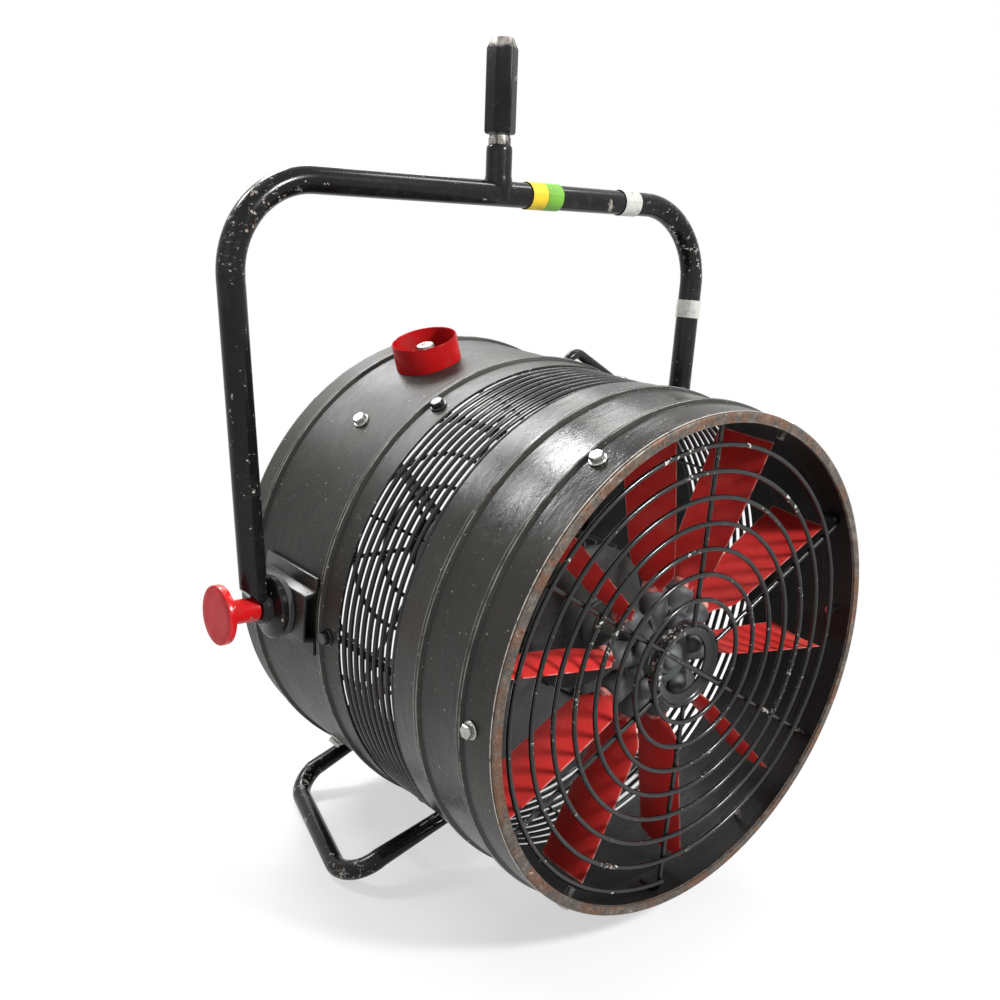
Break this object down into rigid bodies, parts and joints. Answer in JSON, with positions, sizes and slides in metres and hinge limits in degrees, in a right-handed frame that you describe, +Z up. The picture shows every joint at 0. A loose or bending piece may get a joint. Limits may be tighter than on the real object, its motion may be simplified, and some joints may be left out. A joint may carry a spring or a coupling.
{
  "type": "drum fan",
  "caption": "Drum fan with a finned motor and adjustable blades behind wire guards, bent-tube feet and a tilting yoke with a hanging spigot.",
  "frame": {"origin": "on the ground, below the middle of the drum's length and width", "axes": "+Z up; +X along the yoke's pivot axis; the air leaves the front mouth towards -Y, and the motor end is +Y"},
  "size_m": [0.622, 0.407, 0.795],
  "materials": {
    "shell_black": "satin black enamel, scratched, bare at the rim",
    "wire_black": "semi-gloss black dip coat, chipped at the crossings",
    "tube_black": "gloss black enamel with pale chips at the bends",
    "zinc": "bright zinc plate",
    "hub_grey": "as-cast, dull dark grey",
    "blade_red": "satin red moulding, dusty",
    "motor_grey": "dark grey paint over castings",
    "guard_red": "gloss red enamel, faded and chipped at the edges",
    "disc_grey": "dull friction lining",
    "tape_yellow": "cloth tape",
    "tape_green": "cloth tape",
    "tape_grey": "worn cloth tape"
  },
  "bodies": {
    "drum": {"front_shell": "shell_black", "rear_shell": "shell_black", "intake_cage": "wire_black", "front_grille": "wire_black", "rear_grille": "wire_black", "front_bolt_1": "zinc", "front_bolt_2": "zinc", "front_bolt_3": "zinc", "front_bolt_4": "zinc", "front_bolt_5": "zinc", "front_bolt_6": "zinc", "motor_body": "motor_grey", "motor_front_cover": "motor_grey", "motor_rear_cover": "motor_grey", "motor_bracket": "motor_grey", "motor_bolt_1": "zinc", "motor_bolt_2": "zinc", "motor_bolt_3": "zinc", "motor_bolt_4": "zinc", "button_guard": "guard_red", "button_bezel": "zinc", "carrying_handle": "tube_black", "foot_left": "tube_black", "foot_right": "tube_black", "pivot_bracket_left": "shell_black", "pivot_bracket_right": "shell_black", "pivot_nut_left": "zinc", "pivot_nut_right": "zinc", "friction_disc_left": "disc_grey", "friction_disc_right": "disc_grey"},
    "impeller": {"motor_shaft": "zinc", "hub_front_plate": "hub_grey", "hub_back_plate": "hub_grey", "hub_nut": "zinc", "hub_bolt_1": "hub_grey", "hub_bolt_2": "hub_grey", "hub_bolt_3": "hub_grey", "hub_bolt_4": "hub_grey", "hub_bolt_5": "hub_grey", "blade_1": "blade_red", "blade_2": "blade_red", "blade_3": "blade_red", "blade_4": "blade_red", "blade_5": "blade_red", "blade_6": "blade_red", "blade_7": "blade_red", "blade_8": "blade_red", "blade_9": "blade_red", "blade_10": "blade_red"},
    "yoke": {"yoke": "tube_black", "spigot": "tube_black", "tape_yellow": "tape_yellow", "tape_green": "tape_green", "tape_grey_bar": "tape_grey", "tape_grey_leg": "tape_grey"},
    "clamp_knob_left": {"clamp_knob_left": "guard_red"},
    "clamp_knob_right": {"clamp_knob_right": "guard_red"},
    "power_button": {"power_button": "zinc"}
  },
  "joints": [
    {"name": "impeller_spin", "type": "hinge", "parent": "drum", "child": "impeller", "pos_m": [0, -0.1495, 0.263], "axis": [0, 1, 0], "continuous": true},
    {"name": "yoke_tilt", "type": "hinge", "parent": "drum", "child": "yoke", "pos_m": [0, 0.0981, 0.263], "axis": [1, 0, 0], "range_deg": [-220, 50]},
    {"name": "clamp_knob_left_turn", "type": "hinge", "parent": "drum", "child": "clamp_knob_left", "pos_m": [-0.29, 0.0981, 0.263], "axis": [-1, 0, 0], "range_deg": [0, 720]},
    {"name": "clamp_knob_right_turn", "type": "hinge", "parent": "drum", "child": "clamp_knob_right", "pos_m": [0.29, 0.0981, 0.263], "axis": [1, 0, 0], "range_deg": [0, 720]},
    {"name": "power_button_press", "type": "slide", "parent": "drum", "child": "power_button", "axis": [0.3256, 0, -0.9455], "range_m": [0, 0.003], "stiffness_N_per_m": 500}
  ]
}
